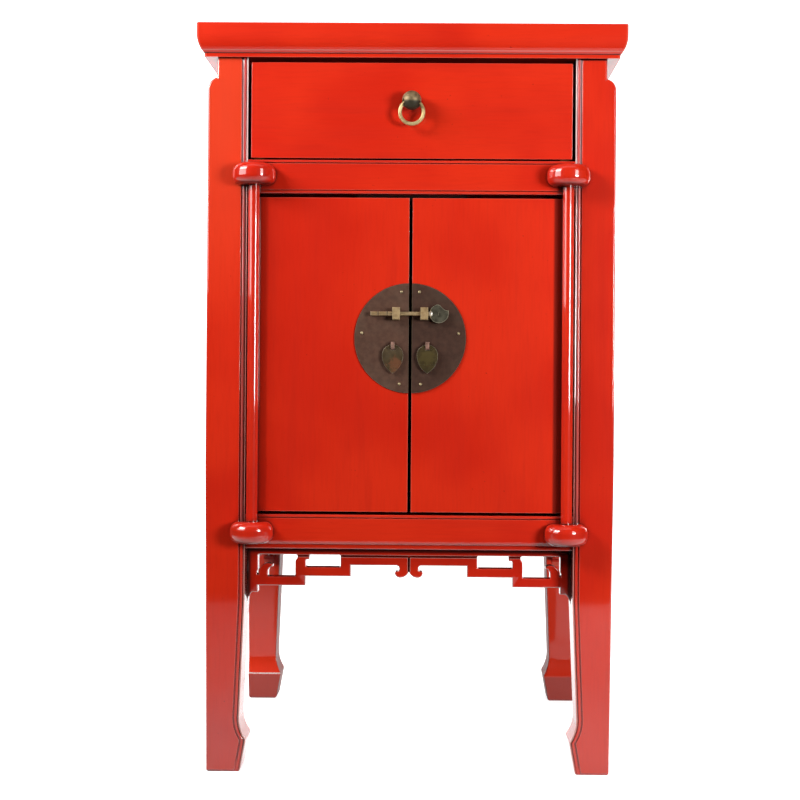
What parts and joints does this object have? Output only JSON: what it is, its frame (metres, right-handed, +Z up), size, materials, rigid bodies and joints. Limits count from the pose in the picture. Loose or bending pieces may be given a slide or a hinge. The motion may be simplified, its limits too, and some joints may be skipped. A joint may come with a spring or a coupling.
{
  "type": "side cabinet",
  "caption": "Tall lacquered side cabinet on hoof-foot legs, with a drawer over a cupboard whose doors swing on turned posts, a round lock plate and an openwork apron.",
  "frame": {"origin": "on the floor, under the middle of the cabinet's overall box", "axes": "+Z up, -Y towards the front with the drawer and doors, +X to the right seen from the front"},
  "size_m": [0.4584, 0.4172, 0.8],
  "materials": {
    "red_lacquer": "satin-gloss vermilion lacquer with dark glaze in the grooves and rubbed edges",
    "inside_wood": "plain brown stained softwood",
    "dark_bronze": "dark brown patinated brass sheet",
    "aged_brass": "aged brass",
    "olive_bronze": "dark olive patinated brass",
    "copper": "dull copper strip"
  },
  "bodies": {
    "frame": {"apron_front": "red_lacquer", "apron_left": "red_lacquer", "apron_right": "red_lacquer", "back_panel": "inside_wood", "bottom_rail_back": "red_lacquer", "bottom_rail_front": "red_lacquer", "bottom_rail_left": "red_lacquer", "bottom_rail_right": "red_lacquer", "cupboard_floor": "inside_wood", "door_stop": "inside_wood", "drawer_rail": "red_lacquer", "drawer_runner_left": "inside_wood", "drawer_runner_right": "inside_wood", "leg_back_left": "red_lacquer", "leg_back_right": "red_lacquer", "leg_front_left": "red_lacquer", "leg_front_right": "red_lacquer", "pivot_drum_lower_left": "red_lacquer", "pivot_drum_lower_right": "red_lacquer", "pivot_drum_upper_left": "red_lacquer", "pivot_drum_upper_right": "red_lacquer", "runner_bearer": "inside_wood", "side_panel_left": "red_lacquer", "side_panel_right": "red_lacquer", "top_brace": "inside_wood", "top_frame_back": "red_lacquer", "top_frame_front": "red_lacquer", "top_frame_left": "red_lacquer", "top_frame_right": "red_lacquer", "top_panel": "red_lacquer", "upper_rail_back": "red_lacquer", "upper_rail_left": "red_lacquer", "upper_rail_right": "red_lacquer"},
    "drawer": {"drawer_front": "red_lacquer", "drawer_side_left": "inside_wood", "drawer_side_right": "inside_wood", "drawer_back": "inside_wood", "drawer_bottom": "inside_wood", "ring_boss": "aged_brass"},
    "ring": {"ring_pull": "aged_brass"},
    "door_left": {"door_panel_left": "red_lacquer", "hinge_post_left": "red_lacquer", "door_battens_left": "inside_wood", "lock_plate_left": "dark_bronze", "plate_nails_left": "aged_brass", "lock_staple_left": "aged_brass", "pull_staple_left": "copper"},
    "pull_left": {"leaf_pull_left": "olive_bronze"},
    "door_right": {"door_panel_right": "red_lacquer", "hinge_post_right": "red_lacquer", "door_battens_right": "inside_wood", "lock_plate_right": "dark_bronze", "plate_nails_right": "aged_brass", "lock_staple_right": "aged_brass", "pull_staple_right": "copper"},
    "pull_right": {"leaf_pull_right": "olive_bronze"},
    "pin": {"lock_pin": "aged_brass"}
  },
  "joints": [
    {"name": "drawer_slide", "type": "slide", "parent": "frame", "child": "drawer", "axis": [0, -1, 0], "range_m": [0, 0.26]},
    {"name": "ring_swing", "type": "hinge", "parent": "drawer", "child": "ring", "pos_m": [0, -0.19265, 0.717], "axis": [-1, 0, 0], "range_deg": [-15, 90]},
    {"name": "door_left_swing", "type": "hinge", "parent": "frame", "child": "door_left", "pos_m": [-0.1675, -0.18565, 0.4476], "axis": [0, 0, -1], "range_deg": [0, 170]},
    {"name": "door_right_swing", "type": "hinge", "parent": "frame", "child": "door_right", "pos_m": [0.1675, -0.18565, 0.4476], "axis": [0, 0, 1], "range_deg": [0, 170]},
    {"name": "pull_left_swing", "type": "hinge", "parent": "door_left", "child": "pull_left", "pos_m": [-0.0185, -0.18545, 0.4568], "axis": [-1, 0, 0], "range_deg": [-3, 100]},
    {"name": "pull_right_swing", "type": "hinge", "parent": "door_right", "child": "pull_right", "pos_m": [0.0185, -0.18545, 0.4568], "axis": [-1, 0, 0], "range_deg": [-3, 100]},
    {"name": "pin_slide", "type": "slide", "parent": "door_right", "child": "pin", "axis": [1, 0, 0], "range_m": [0, 0.05]}
  ]
}
